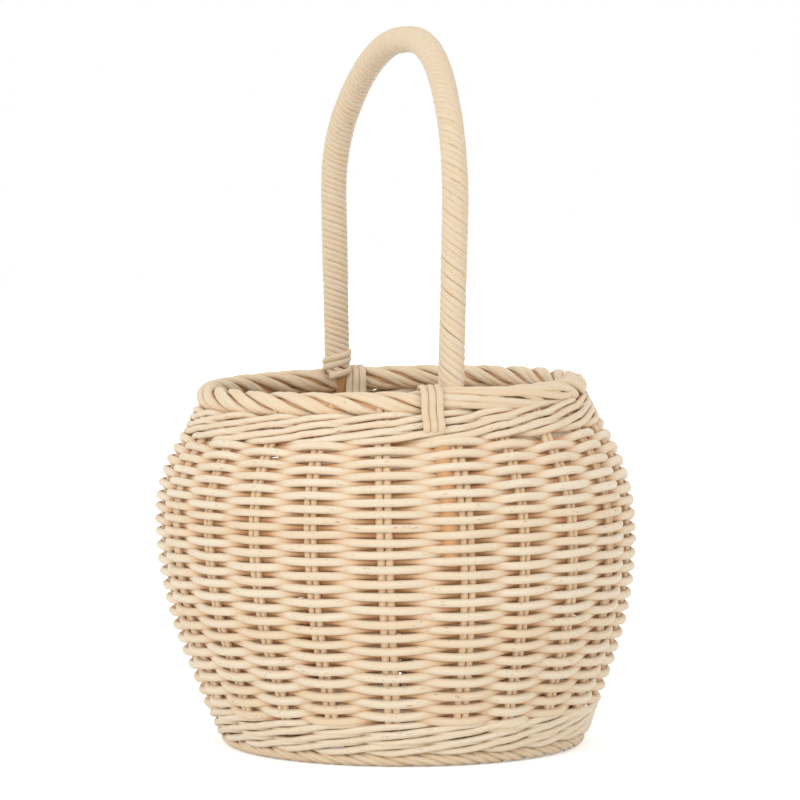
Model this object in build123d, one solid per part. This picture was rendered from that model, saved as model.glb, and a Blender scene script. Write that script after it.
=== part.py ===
"""Egg collection basket of round cane with a fixed, wrapped bow handle.

Frame: +Z up, millimetres, origin on the floor at the centre of the foot. The handle spans along X.
Going up, the basket has a foot border, a round base on a cross of sticks, a waled upsett, a wall of
plain weaving on side stakes, a waled neck and a thick border. A bow of thicker rod goes down into the
wall beside a stake at each end. It is wrapped with flat cane and lashed to the border.

The woven courses are closed bands with the true inner and outer faces of the weaving. The stakes,
sticks, bow and lashings pass through them in channels, as they do between the weavers.
"""
import os
from math import degrees, hypot, radians, tan

from build123d import *

# Materials, all diameters
CANE_D = 3.2            # side stakes and lashings
WEAVER_D = 3.8          # cane of the wall
BOW_D = 8.2             # rod inside the handle
WRAP_D = 13.2           # handle over its wrapping
PIERCED_STICK_D = 5.0   # base sticks that are slit
THREADED_STICK_D = 3.2  # base sticks that go through the slits
CLEARANCE = 0.15        # between a cane and its channel, each side
CANE_GAP = 0.1          # between canes that lie side by side

# Counts
STAKES = 22             # even, because the bow needs a stake at each end
CANES_PER_STAKE = 2
PIERCED_STICKS = 6
THREADED_STICKS = STAKES // 2 - PIERCED_STICKS
SIDE_WEAVERS = 8        # lengths of cane in the plain weaving, one above another
LASHING_TURNS = 3

# Heights above the floor
FOOT_H = 8.0
UPSETT_TOP = 20.0
BELLY_LOW = 78.0        # where the leaning lower wall would meet the upright belly
RIM_Z = 172.0           # underside of the border
ARCH_Z = 352.0          # centre line at the top of the arch

# Heights of parts of the basket
BASE_T = 10.0           # thickness of the base weaving
TOP_WALE_H = 12.0
NECK_H = 4.5            # from where the shoulder would meet the neck to the border
SHOULDER_H = 28.5       # from where the belly would meet the shoulder to where that meets the neck
BORDER_H = 13.0
STAKE_IN_BORDER = 7.0   # how far the stakes go up into the border
LEG_FOOT_H = 9.5        # from the border's underside to where the bow turns up into the leg
ARCH_H = 54.0           # from where the leg would meet the slant of the arch to the arch's top
BOW_TAIL = 39.0         # how far the bow's end goes down below the shoulder

# Radii of the stakes' centre line
BASE_R = 91.3
BELLY_R = 116.0
NECK_R = 95.5
STAKE_END_IN = 2.5      # how far inside the neck the stakes end

# Other radii
CROSS_R = 21.0          # where the weaving of the base begins
BASE_SPLIT_R = 52.0     # where the first weaver of the base ends and the second begins
STAKE_START_R = 56.0    # inner end of a stake in the base
FOOT_IN = 4.8           # from the stakes at the base in to the middle of the foot border
FOOT_W = 10.0
BORDER_IN = 4.0         # from the stakes at the neck in to the middle of the border
BORDER_W = 13.0
ARCH_R = 93.0           # where the leg would meet the slant of the arch
ARCH_FLAT_R = 45.0      # where the slant would meet the top of the arch

# Bend radii of centre lines and of edges
STAKE_BENDS = (7.0, 185.0, 89.0, 30.0)
LEG_FOOT_BEND = 18.0
ARCH_BENDS = (65.0, 88.0)
STICK_BEND = 10.0
LASHING_BEND = 3.0
FOOT_EDGE = 2.5
BORDER_EDGE = 4.5

# Places of pieces beside each other
STAKE_PITCH = 360.0 / STAKES
STAKE_TURN = -5.0       # angle from the bow to the stake beside it
EDGE_GAP = 0.3          # from the base to the upsett, and from a stick's end to the base's edge
CROSS_ARM = 1.5         # from the cross to where its sticks begin to spread
LASHING_GAP = 0.6       # from the stake's flank to the first lashing turn
LASHING_DEPTH = 7.0     # from the border's underside to where a lashing goes through the wall
WRAP_GAP = 3.5          # from the border's top to the wrapping

BASE_MID = FOOT_H + BASE_T / 2
SIDE_TOP = RIM_Z - TOP_WALE_H
NECK_Z = RIM_Z - NECK_H
BELLY_HIGH = NECK_Z - SHOULDER_H
RIM_TOP = RIM_Z + BORDER_H
STAKE_END_Z = RIM_Z + STAKE_IN_BORDER
STAKE_END_R = NECK_R - STAKE_END_IN
FOOT_R = BASE_R - FOOT_IN
BORDER_R = NECK_R - BORDER_IN
BOW_END_Z = BELLY_HIGH - BOW_TAIL
LEG_FOOT_Z = RIM_Z + LEG_FOOT_H
ARCH_LOW = ARCH_Z - ARCH_H
CANE_PITCH = CANE_D + CANE_GAP
STAKE_HALF_W = CANES_PER_STAKE * CANE_PITCH / 2
WALL_W = CANE_D + 2 * (WEAVER_D - CLEARANCE)


def fitting(points, bends):
    """The bend radii, with those made smaller that share a run too short for them."""
    runs = [Vector(*b) - Vector(*a) for a, b in zip(points, points[1:])]
    reach = [r * tan(radians(u.get_angle(v)) / 2) for r, u, v in zip(bends, runs, runs[1:])]
    used = [a + b for a, b in zip([0, *reach], [*reach, 0])]
    share = [min(1.0, 0.98 * run.length / max(length, 0.01)) for run, length in zip(runs, used)]
    return [bend * min(pair) for bend, pair in zip(bends, zip(share, share[1:]))]


def smooth(points, bends):
    """A line through the corner points, with an arc at each corner."""
    return FilletPolyline(*points, radius=fitting(points, bends))


def rod(path, diameter):
    return sweep(Plane(path @ 0, z_dir=path % 0) * Circle(diameter / 2), path=path)


def around(shape, count, first=0.0):
    """Copies of a shape, evenly spaced about the axis."""
    return [Rot(0, 0, first + i * 360.0 / count) * shape for i in range(count)]


def spread(count, pitch):
    """Offsets of things that lie side by side, centred on zero."""
    return [(i - (count - 1) / 2) * pitch for i in range(count)]


# The wall's centre line: radius and height at each corner
CORNERS = [(BASE_R, BASE_MID), (BELLY_R, BELLY_LOW), (BELLY_R, BELLY_HIGH), (NECK_R, NECK_Z)]
FOOT_SLOPE = (BELLY_R - BASE_R) / (BELLY_LOW - BASE_MID)
SHOULDER_SLOPE = (BELLY_R - NECK_R) / (NECK_Z - BELLY_HIGH)
LEG_FOOT_R = BELLY_R - SHOULDER_SLOPE * (LEG_FOOT_Z - BELLY_HIGH)


def wall_shell():
    """The wall's thickness, turned about the axis, from the floor to the border's top."""
    below = (BASE_R - FOOT_SLOPE * BASE_MID, 0.0)
    end_slope = (NECK_R - STAKE_END_R) / (STAKE_END_Z - NECK_Z)
    above = (NECK_R - end_slope * (RIM_TOP - NECK_Z), RIM_TOP)
    line = smooth([below, *CORNERS[1:], above], STAKE_BENDS[1:])
    return revolve(Plane.XZ * trace(line, line_width=WALL_W), axis=Axis.Z)


def band_of(shell, bottom, top):
    slab = Pos(0, 0, (bottom + top) / 2) * Cylinder(2 * BELLY_R, top - bottom)
    return shell & slab


def stake_line(start_r, end_z):
    return smooth([(start_r, BASE_MID), *CORNERS, (STAKE_END_R, end_z)], STAKE_BENDS)


def stake():
    """Canes side by side, from inside the base, up through the wall and into the border."""
    cane = rod(Plane.XZ * stake_line(STAKE_START_R, STAKE_END_Z), CANE_D)
    return Part() + [Pos(0, y, 0) * cane for y in spread(CANES_PER_STAKE, CANE_PITCH)]


def stake_channels():
    line = stake_line(STAKE_START_R - CLEARANCE, STAKE_END_Z + CLEARANCE)
    face = Plane.XZ * trace(line, line_width=CANE_D + 2 * CLEARANCE)
    channel = extrude(face, amount=STAKE_HALF_W + CLEARANCE, both=True)
    return around(channel, STAKES, STAKE_TURN)


def border(radius, width, bottom, height, edge):
    """A ring of rolled canes, flat where it lies on its seat."""
    section = Plane.XZ * Pos(radius, bottom + height / 2) * RectangleRounded(width, height, edge)
    return revolve(section, axis=Axis.Z)


def stick_line(side, half_cross, angle, end_r):
    """A base stick: straight over the cross, then spreading to its place at each end."""
    end = Vector(end_r, 0).rotate(Axis.Z, angle)
    points = [(-end.X, end.Y), (-half_cross, side), (half_cross, side), (end.X, end.Y)]
    straight = abs(end.Y - side) < CANE_GAP
    line = Line(points[0], points[-1]) if straight else smooth(points, (STICK_BEND, STICK_BEND))
    return Pos(0, 0, BASE_MID) * line


def sticks(count, diameter, crossed_span, turn, spare=0.0):
    """The base sticks that lie one way, side by side; `spare` makes them into their channels."""
    offsets = spread(count, diameter + CANE_GAP)
    angles = spread(count, STAKE_PITCH)
    half_cross = crossed_span / 2 + CROSS_ARM
    lines = [stick_line(y, half_cross, angle, STICK_END_R + spare) for y, angle in zip(offsets, angles)]
    return [Rot(0, 0, turn) * rod(line, diameter + 2 * spare) for line in lines]


PIERCED_SPAN = PIERCED_STICKS * (PIERCED_STICK_D + CANE_GAP)
THREADED_SPAN = THREADED_STICKS * (THREADED_STICK_D + CANE_GAP)
UPSETT_IN_R = BASE_R - FOOT_SLOPE * BASE_T / 2 - WALL_W / 2 * hypot(1, FOOT_SLOPE)
BASE_EDGE_R = UPSETT_IN_R - EDGE_GAP
STICK_END_R = BASE_EDGE_R - CLEARANCE - EDGE_GAP
# Sticks lie midway between stakes, whether their number is even or odd
CROSS_TURN = STAKE_TURN + PIERCED_STICKS % 2 * STAKE_PITCH / 2


def pierced_sticks(spare=0.0):
    return sticks(PIERCED_STICKS, PIERCED_STICK_D, THREADED_SPAN, CROSS_TURN, spare)


def threaded_sticks(spare=0.0):
    return sticks(THREADED_STICKS, THREADED_STICK_D, PIERCED_SPAN, CROSS_TURN + 90, spare)


def slit():
    """The slit through the pierced sticks, as wide as the sticks threaded through it."""
    opening = Box(THREADED_SPAN + 2 * CLEARANCE, 2 * PIERCED_SPAN, THREADED_STICK_D + 2 * CLEARANCE)
    return Rot(0, 0, CROSS_TURN) * Pos(0, 0, BASE_MID) * opening


def base_ring(inner_r, outer_r):
    disc = Cylinder(outer_r, BASE_T) - Cylinder(inner_r, BASE_T)
    return Pos(0, 0, BASE_MID) * disc


def bow(diameter=BOW_D, spare=0.0):
    """The rod from one side of the basket over to the other; `spare` makes it into its channel."""
    right = [
        (BELLY_R, BOW_END_Z - spare),
        (BELLY_R, BELLY_HIGH),
        (LEG_FOOT_R, LEG_FOOT_Z),
        (ARCH_R, ARCH_LOW),
        (ARCH_FLAT_R, ARCH_Z),
    ]
    left = [(-x, z) for x, z in reversed(right)]
    bends = [STAKE_BENDS[2], LEG_FOOT_BEND, *ARCH_BENDS]
    return rod(Plane.XZ * smooth(right + left, bends + bends[::-1]), diameter + 2 * spare)


def wrapping():
    """Flat cane wound round one half of the bow, from above the border to the top of the arch."""
    sleeve = bow(WRAP_D) - bow(spare=CLEARANCE)
    start_z = RIM_TOP + WRAP_GAP
    reach = ARCH_R + WRAP_D
    height = ARCH_Z + WRAP_D - start_z
    return sleeve & Pos(reach / 2, 0, start_z + height / 2) * Box(reach, 2 * WRAP_D, height)


def lashing_turn(spare=0.0):
    """One loop round the border and through the wall under it, in the plane of the bow."""
    out = CANE_D / 2 + CANE_GAP
    hole_z = RIM_Z - LASHING_DEPTH
    hole_r = NECK_R + SHOULDER_SLOPE * (NECK_Z - hole_z)
    in_r = BORDER_R - BORDER_W / 2 - out
    points = [
        (min(in_r, hole_r - WALL_W / 2 - out), hole_z),
        (hole_r + WALL_W / 2 + 2 * out, hole_z),
        (BORDER_R + BORDER_W / 2 + out, RIM_Z + BORDER_EDGE),
        (BORDER_R + BORDER_W / 2 + out, RIM_TOP + out),
        (in_r, RIM_TOP + out),
    ]
    return rod(Plane.XZ * FilletPolyline(*points, radius=LASHING_BEND, close=True), CANE_D + 2 * spare)


def lashing(leg_turn, spare=0.0):
    """The turns side by side, next to the stake that stands beside this leg of the bow."""
    first = STAKE_HALF_W + LASHING_GAP + CANE_D / 2
    inner_r = BORDER_R - BORDER_W / 2 - CANE_D / 2 - CANE_GAP
    turn = leg_turn + STAKE_TURN - degrees(first / NECK_R)
    step = degrees(CANE_PITCH / inner_r)
    loop = lashing_turn(spare)
    return Part() + [Rot(0, 0, turn - i * step) * loop for i in range(LASHING_TURNS)]


def save(name, shape):
    export_step(shape, f"parts/{name}.step")


def main():
    os.makedirs("parts", exist_ok=True)
    stake_room = stake_channels()
    bow_room = bow(spare=CLEARANCE)
    front_room, rear_room = lashing(0, CLEARANCE), lashing(180, CLEARANCE)
    stick_room = pierced_sticks(CLEARANCE) + threaded_sticks(CLEARANCE)
    wall = wall_shell()

    # Base
    for i, stick in enumerate(pierced_sticks(), 1):
        save(f"pierced_stick_{i}", stick - slit())
    for i, stick in enumerate(threaded_sticks(), 1):
        save(f"threaded_stick_{i}", stick)
    save("base_weaver_inner", base_ring(CROSS_R, BASE_SPLIT_R) - stick_room)
    save("base_weaver_outer", base_ring(BASE_SPLIT_R, BASE_EDGE_R) - stick_room - stake_room)
    save("foot_border", border(FOOT_R, FOOT_W, 0, FOOT_H, FOOT_EDGE))

    # Wall
    for i, copy in enumerate(around(stake(), STAKES, STAKE_TURN), 1):
        save(f"stake_{i:02d}", copy)
    save("upsett_wale", band_of(wall, FOOT_H, UPSETT_TOP) - stake_room)
    height = (SIDE_TOP - UPSETT_TOP) / SIDE_WEAVERS
    for i in range(SIDE_WEAVERS):
        low = UPSETT_TOP + i * height
        weaver = band_of(wall, low, low + height) - stake_room - bow_room
        save(f"side_weaver_{i + 1}", weaver)
    neck = band_of(wall, SIDE_TOP, RIM_Z)
    save("top_wale", neck - stake_room - bow_room - front_room - rear_room)
    rim = border(BORDER_R, BORDER_W, RIM_Z, BORDER_H, BORDER_EDGE)
    save("rim_border", rim - stake_room - bow_room)

    # Handle
    save("handle_bow", bow())
    half = wrapping()
    save("handle_wrap_front", half)
    save("handle_wrap_rear", Rot(0, 0, 180) * half)
    save("handle_lashing_front", lashing(0))
    save("handle_lashing_rear", lashing(180))


main()
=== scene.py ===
# %% [markdown]
# # A round cane egg basket, woven in code
#
# The basket is made of round cane, and every rod of it is modelled: the side stakes, the weavers that
# pass alternately inside and outside them, the thick waling at the foot and neck, the rolled border,
# and the flat cane wound round the bow handle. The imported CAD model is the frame. It says where each
# course begins and ends and how thick it is, and each piece made here stands for one of its nodes.

# %% Load the frame
import math

import bpy
import numpy as np
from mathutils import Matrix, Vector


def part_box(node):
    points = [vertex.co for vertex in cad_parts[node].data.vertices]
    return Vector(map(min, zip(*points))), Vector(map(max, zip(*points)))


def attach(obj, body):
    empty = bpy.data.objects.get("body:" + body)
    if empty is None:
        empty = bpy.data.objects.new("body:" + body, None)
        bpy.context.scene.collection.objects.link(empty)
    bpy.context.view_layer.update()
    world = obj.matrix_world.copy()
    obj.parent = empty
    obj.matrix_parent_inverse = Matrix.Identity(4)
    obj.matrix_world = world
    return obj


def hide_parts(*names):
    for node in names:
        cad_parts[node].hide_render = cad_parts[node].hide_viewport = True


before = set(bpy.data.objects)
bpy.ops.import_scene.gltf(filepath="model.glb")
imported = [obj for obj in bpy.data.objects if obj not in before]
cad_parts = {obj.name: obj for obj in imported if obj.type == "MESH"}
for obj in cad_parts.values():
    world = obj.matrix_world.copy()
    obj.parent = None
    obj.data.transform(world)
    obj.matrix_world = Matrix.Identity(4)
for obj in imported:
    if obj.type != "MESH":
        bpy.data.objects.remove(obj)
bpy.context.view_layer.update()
TAU = 2 * math.pi
print("nodes in the frame:", len(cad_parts))

# %% [markdown]
# ## Camera, floor and light
#
# The basket is seen from the height of its handle with a long lens, so that its sides hardly converge.
# The handle is nearly edge-on. The floor and the world are white to the camera and to reflections, but
# they light the basket at a plain level, so the cane keeps its own colour.

# %% Camera
VIEW_TURN = math.radians(-19.5)      # from +X, where the camera stands
VIEW_DISTANCE = 2.1
VIEW_HEIGHT = 0.307
VIEW_DIP = math.radians(3.68)
LENS_MM = 189.0
VIEW_SIDE = np.array([-math.sin(VIEW_TURN), math.cos(VIEW_TURN), 0.0])
VIEW_FRONT = np.array([math.cos(VIEW_TURN), math.sin(VIEW_TURN), 0.0])
AIM_SIDE = 0.0022                   # how far right of the axis the camera looks

lens = bpy.data.cameras.new("camera")
lens.lens, lens.sensor_width = LENS_MM, 36.0
lens.clip_start, lens.clip_end = 0.05, 20.0
camera = bpy.data.objects.new("camera", lens)
stand = VIEW_FRONT * VIEW_DISTANCE
camera.location = stand + VIEW_SIDE * AIM_SIDE + np.array([0, 0, VIEW_HEIGHT])
camera.rotation_euler = (math.pi / 2 - VIEW_DIP, 0, VIEW_TURN + math.pi / 2)
bpy.context.scene.collection.objects.link(camera)
bpy.context.scene.camera = camera
bpy.context.scene.view_settings.view_transform = "Standard"


# %% Helpers that add nodes to a tree
def add_node(tree, kind, inputs=None, **settings):
    """A new node. Each of its inputs is given a value, or a socket or Wire to be fed from."""
    made = tree.nodes.new(kind)
    for name, value in settings.items():
        setattr(made, name, value)
    for key, value in (inputs or {}).items():
        value = value.socket if isinstance(value, Wire) else value
        if isinstance(value, bpy.types.NodeSocket):
            tree.links.new(value, made.inputs[key])
        else:
            made.inputs[key].default_value = value
    return made


class Wire:
    """A number that flows through a node tree, so that a sum of sockets is written as a sum."""

    def __init__(self, socket):
        self.socket = socket

    def math(self, operation, *others):
        tree = self.socket.id_data
        inputs = dict(enumerate((self, *others)))
        return Wire(add_node(tree, "ShaderNodeMath", inputs, operation=operation).outputs[0])

    def __add__(self, other):
        return self.math("ADD", other)

    def __sub__(self, other):
        return self.math("SUBTRACT", other)

    def __mul__(self, other):
        return self.math("MULTIPLY", other)

    def __truediv__(self, other):
        return self.math("DIVIDE", other)

    def sin(self):
        return self.math("SINE")

    def cos(self):
        return self.math("COSINE")

    def fraction(self):
        return self.math("FRACT")


class Arrow:
    """A vector that flows through a node tree."""

    def __init__(self, socket):
        self.socket = socket

    def math(self, operation, other=None, scale=None):
        tree = self.socket.id_data
        inputs = {0: self.socket}
        if other is not None:
            inputs[1] = other.socket if isinstance(other, Arrow) else other
        if scale is not None:
            inputs["Scale"] = scale
        node = add_node(tree, "ShaderNodeVectorMath", inputs, operation=operation)
        return Arrow(node.outputs[0])

    def __add__(self, other):
        return self.math("ADD", other)

    def __sub__(self, other):
        return self.math("SUBTRACT", other)

    def __mul__(self, number):
        return self.math("SCALE", scale=number)

    def cross(self, other):
        return self.math("CROSS_PRODUCT", other)

    def unit(self):
        return self.math("NORMALIZE")

    def part(self, axis):
        tree = self.socket.id_data
        node = add_node(tree, "ShaderNodeSeparateXYZ", {0: self.socket})
        return Wire(node.outputs[axis])


def arrow(tree, x=0.0, y=0.0, z=0.0):
    return Arrow(add_node(tree, "ShaderNodeCombineXYZ", {0: x, 1: y, 2: z}).outputs[0])


# %% Floor, world and lamps
def ramp(tree, factor, low, high, invert=False):
    """Maps a number from low..high onto 0..1, smoothly."""
    ends = (1.0, 0.0) if invert else (0.0, 1.0)
    inputs = {"Value": factor, "From Min": low, "From Max": high, "To Min": ends[0], "To Max": ends[1]}
    node = add_node(tree, "ShaderNodeMapRange", inputs, interpolation_type="SMOOTHSTEP")
    return Wire(node.outputs[0])


def seen_ray(tree):
    """1 for camera, glossy and transmission rays, 0 for the rays that light the basket."""
    rays = add_node(tree, "ShaderNodeLightPath")
    seen = Wire(rays.outputs["Is Camera Ray"]).math("MAXIMUM", Wire(rays.outputs["Is Glossy Ray"]))
    return seen.math("MAXIMUM", Wire(rays.outputs["Is Transmission Ray"]))


FLOOR_GLOW_NEAR = 0.42               # enough to bring the lit floor to white, and keep the shadow
FLOOR_GLOW_FAR = 1.0


def make_floor():
    mesh = bpy.data.meshes.new("floor")
    reach = 6.0
    corners = [(-reach, -reach, 0), (reach, -reach, 0), (reach, reach, 0), (-reach, reach, 0)]
    mesh.from_pydata(corners, [], [(0, 1, 2, 3)])
    floor = bpy.data.objects.new("floor", mesh)
    bpy.context.scene.collection.objects.link(floor)
    material = bpy.data.materials.new("pale_floor")
    material.use_nodes = True
    tree = material.node_tree
    shader = tree.nodes["Principled BSDF"]
    shader.inputs["Base Color"].default_value = (0.9, 0.9, 0.9, 1)
    shader.inputs["Roughness"].default_value = 0.9
    shader.inputs["Specular IOR Level"].default_value = 0.0
    shader.inputs["Emission Color"].default_value = (1, 1, 1, 1)
    place = Arrow(add_node(tree, "ShaderNodeTexCoord").outputs["Object"])
    away = Wire(place.math("LENGTH").socket.node.outputs["Value"])
    glow = ramp(tree, away, 0.16, 0.5) * (FLOOR_GLOW_FAR - FLOOR_GLOW_NEAR) + FLOOR_GLOW_NEAR
    tree.links.new((glow * seen_ray(tree)).socket, shader.inputs["Emission Strength"])
    mesh.materials.append(material)
    return floor


def make_world(strength):
    world = bpy.data.worlds.new("studio")
    world.use_nodes = True
    tree = world.node_tree
    background = tree.nodes["Background"]
    background.inputs["Color"].default_value = (1, 1, 1, 1)
    level = seen_ray(tree) * (1.0 - strength) + strength
    tree.links.new(level.socket, background.inputs["Strength"])
    bpy.context.scene.world = world


def make_lamp(name, side, height, away, size, watts):
    """A soft square lamp, placed as the camera sees it: to the side, above and towards it."""
    lamp = bpy.data.lights.new(name, "AREA")
    lamp.size, lamp.energy = size, watts
    holder = bpy.data.objects.new(name, lamp)
    place = VIEW_SIDE * side + VIEW_FRONT * away + (0, 0, height)
    holder.location = place
    aim = np.array([0, 0, 0.15]) - place
    turn = math.atan2(aim[1], aim[0]) - math.pi / 2
    dip = math.atan2(aim[2], math.hypot(aim[0], aim[1]))
    holder.rotation_euler = (math.pi / 2 + dip, 0, turn)
    bpy.context.scene.collection.objects.link(holder)


make_floor()
make_world(0.88)
make_lamp("key_light", side=-1.3, height=1.0, away=1.8, size=1.1, watts=14.5)
make_lamp("fill_light", side=1.6, height=0.9, away=1.5, size=1.6, watts=6)
make_lamp("top_light", side=0.1, height=2.2, away=-0.3, size=1.4, watts=1.5)
print("camera and light are set")

# %% [markdown]
# ## Lines to weave on
#
# Two lines carry the whole basket. The wall line is the middle of the wall's thickness, as radius and
# height. Each woven course of the frame starts and ends on it, so it is read from the courses' edges.
# The bow line is the middle of the handle's rod. It is read from the rod's side, where the surface
# turns from one face to the other. Each ring of the surface has a few points there, on both sides of
# the middle, so their mean is taken.

# %% Read the wall line and the bow line from the frame
def node_points(name):
    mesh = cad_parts[name].data
    flat = np.empty(len(mesh.vertices) * 3)
    mesh.vertices.foreach_get("co", flat)
    return flat.reshape(-1, 3)


def course_edge(name, top):
    """The middle radius and the height of a course's lower or upper edge."""
    points = node_points(name)
    radius = np.hypot(points[:, 0], points[:, 1])
    height = points[:, 2].max() if top else points[:, 2].min()
    on_edge = np.abs(points[:, 2] - height) < 1e-5
    return (radius[on_edge].min() + radius[on_edge].max()) / 2, height


SIDE_COURSES = [f"side_weaver_{i}" for i in range(1, 9)]
COURSES = ["upsett_wale", *SIDE_COURSES, "top_wale"]
wall_edges = [course_edge(name, top=False) for name in COURSES] + [course_edge("top_wale", top=True)]


def ring_middles(points, span):
    """The middle of each ring of a rod's surface, whose points lie nearer together than the span."""
    rings = []
    for point in points:
        own = [ring for ring in rings if np.linalg.norm(ring[0] - point) < span]
        if own:
            own[0].append(point)
        else:
            rings.append([point])
    return np.array([np.mean(ring, axis=0) for ring in rings])


RING_SPAN = 0.0021                   # the bow's rings are further apart than this
SIDE_BAND = 0.96                     # points this far out, as a share, are on the rod's side


def bow_points():
    """Points along the bow from its end on +X, over the top, to its end on -X."""
    points = node_points("handle_bow")
    side = points[points[:, 1] > SIDE_BAND * points[:, 1].max()]
    above = side[:, 2] - (side[:, 2].min() + side[:, 2].max()) / 2
    past_half = (side[:, 0] < 0) & (above < 0)
    order = np.argsort(np.arctan2(above, side[:, 0]) + TAU * past_half)
    return ring_middles(side[order] * (1, 0, 1), RING_SPAN)


bow_line = bow_points()
print("wall line, mm:", [(round(r * 1000, 1), round(z * 1000, 1)) for r, z in wall_edges])
print("bow line:", len(bow_line), "points, top at", round(bow_line[:, 2].max() * 1000, 1), "mm")


# %% Curves that the trees start from
def add_spline(data, points, closed, smooth):
    if smooth:
        spline = data.splines.new("BEZIER")
        spline.bezier_points.add(len(points) - 1)
        for knot, point in zip(spline.bezier_points, points):
            knot.co = point
            knot.handle_left_type = knot.handle_right_type = "AUTO"
        spline.resolution_u = 24
    else:
        spline = data.splines.new("POLY")
        spline.points.add(len(points) - 1)
        for knot, point in zip(spline.points, points):
            knot.co = (*point, 1)
    spline.use_cyclic_u = closed


def curve_object(name, *lines, closed=False, smooth=False):
    """A curve through each line's points, straight from one to the next, or smooth."""
    data = bpy.data.curves.new(name, "CURVE")
    data.dimensions = "3D"
    for points in lines:
        add_spline(data, points, closed, smooth)
    made = bpy.data.objects.new(name, data)
    bpy.context.scene.collection.objects.link(made)
    return made


def ring_points(radius, height, count=180):
    return [(radius * math.cos(a), radius * math.sin(a), height) for a in np.arange(count) * TAU / count]


# %% [markdown]
# ## How hand work moves the basket
#
# A basket made by eye is never quite round and upright. This one leans a little to the left, its
# border is higher on the right, and the bow leans the other way. The belly, its widest part, stays
# where the frame has it, so the shift doesn't make the basket larger. Every piece goes through the same
# small shift, so that nothing comes apart.

# %% The lean of the finished basket
LEAN = 0.0058                        # how far the neck stands to the left of the foot
NECK_HEIGHT = 0.172
BELLY_HEIGHT = 0.116                 # the height that the lean leaves in place
BORDER_RISE = 0.0025                 # how much higher the border is on the right, and lower on the left
BORDER_LIFT = -0.0018                # how far all of it is moved up
BORDER_TIP = 0.0012                  # how much lower the border is at the front, and higher at the back
RISE_FROM = 0.105                    # below this the rows are level
BOW_LEAN = 0.0070                    # how far the top of the bow leans to the right
BOW_TOP = float(bow_line[:, 2].max())
BOW_REACH = float(bow_line[bow_line[:, 2] > NECK_HEIGHT, 0].max())
BORDER_REACH = 0.0915                # the border's middle radius, where its rise and tip are as given
PAST_BORDER = 1.2                    # they grow no further than this many times that radius
STAKE_DRIFTS = ((-2.0, 14.0, 2.9), (-37.0, 20.0, -2.2))    # degrees: where, how widely, how far
DRIFT_TOP, DRIFT_FADE = 0.185, 0.02  # the drift is gone at the first height, over the second


def drift_stakes(points):
    """Makes room beside the front leg, where two stakes stand further apart."""
    turn = np.degrees(np.arctan2(points[:, 1], points[:, 0]))
    drift = sum(far * np.exp(-((turn - where) / wide) ** 2) for where, wide, far in STAKE_DRIFTS)
    drift = np.radians(drift * np.clip((DRIFT_TOP - points[:, 2]) / DRIFT_FADE, 0, 1))
    x, y = points[:, 0], points[:, 1]
    turned = (x * np.cos(drift) - y * np.sin(drift), x * np.sin(drift) + y * np.cos(drift), points[:, 2])
    return np.stack(turned, axis=1)


def hand_shift(points, drifts):
    """Where points of the even basket lie on the hand-made one."""
    points = drift_stakes(points) if drifts else points
    moved = points.copy()
    right = np.clip(points @ VIEW_SIDE / BORDER_REACH, -PAST_BORDER, PAST_BORDER)
    front = np.clip(points @ VIEW_FRONT / BORDER_REACH, -PAST_BORDER, PAST_BORDER)
    height = points[:, 2]
    low = np.clip(height / NECK_HEIGHT, 0, 1)
    moved -= np.outer(LEAN * (low - BELLY_HEIGHT / NECK_HEIGHT), VIEW_SIDE)
    rise = np.clip((height - RISE_FROM) / (NECK_HEIGHT - RISE_FROM), 0, 1)
    rise = rise * rise * (3 - 2 * rise)
    up = np.clip((height - NECK_HEIGHT) / (BOW_TOP - NECK_HEIGHT), 0, 1)
    moved[:, 2] += rise * (1 - up) * (BORDER_RISE * right - BORDER_TIP * front + BORDER_LIFT)
    inward = np.clip(1 - (points[:, 0] / BOW_REACH) ** 2, 0, 1)
    moved += np.outer(BOW_LEAN * up * up * (3 - 2 * up) * inward, VIEW_SIDE)
    return moved


# %% Turn what a tree makes into a finished piece
def set_inputs(modifier, values):
    """Sets a tree's inputs by their labels. A modifier keeps them by identifier."""
    for item in modifier.node_group.interface.items_tree:
        if getattr(item, "in_out", "") == "INPUT" and item.name in values:
            modifier[item.identifier] = values[item.name]


def finish_piece(name, source, nodes, slot, tree, drifts=True, **values):
    """Runs a tree on a curve, shifts the result as hand work does, and hands it to the frame."""
    modifier = source.modifiers.new(tree.name, "NODES")
    modifier.node_group = tree
    set_inputs(modifier, {key.replace("_", " ").capitalize(): v for key, v in values.items()})
    bpy.context.view_layer.update()
    seen = source.evaluated_get(bpy.context.evaluated_depsgraph_get())
    mesh = bpy.data.meshes.new_from_object(seen)
    mesh.name = name
    bpy.data.objects.remove(source)
    flat = np.empty(len(mesh.vertices) * 3)
    mesh.vertices.foreach_get("co", flat)
    mesh.vertices.foreach_set("co", hand_shift(flat.reshape(-1, 3), drifts).ravel())
    mesh.update()
    piece = bpy.data.objects.new(name, mesh)
    bpy.context.scene.collection.objects.link(piece)
    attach(piece, "root")
    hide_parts(*nodes)
    print(f"{name}: {len(mesh.vertices)} points, {len(mesh.polygons)} faces")
    return piece
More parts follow.
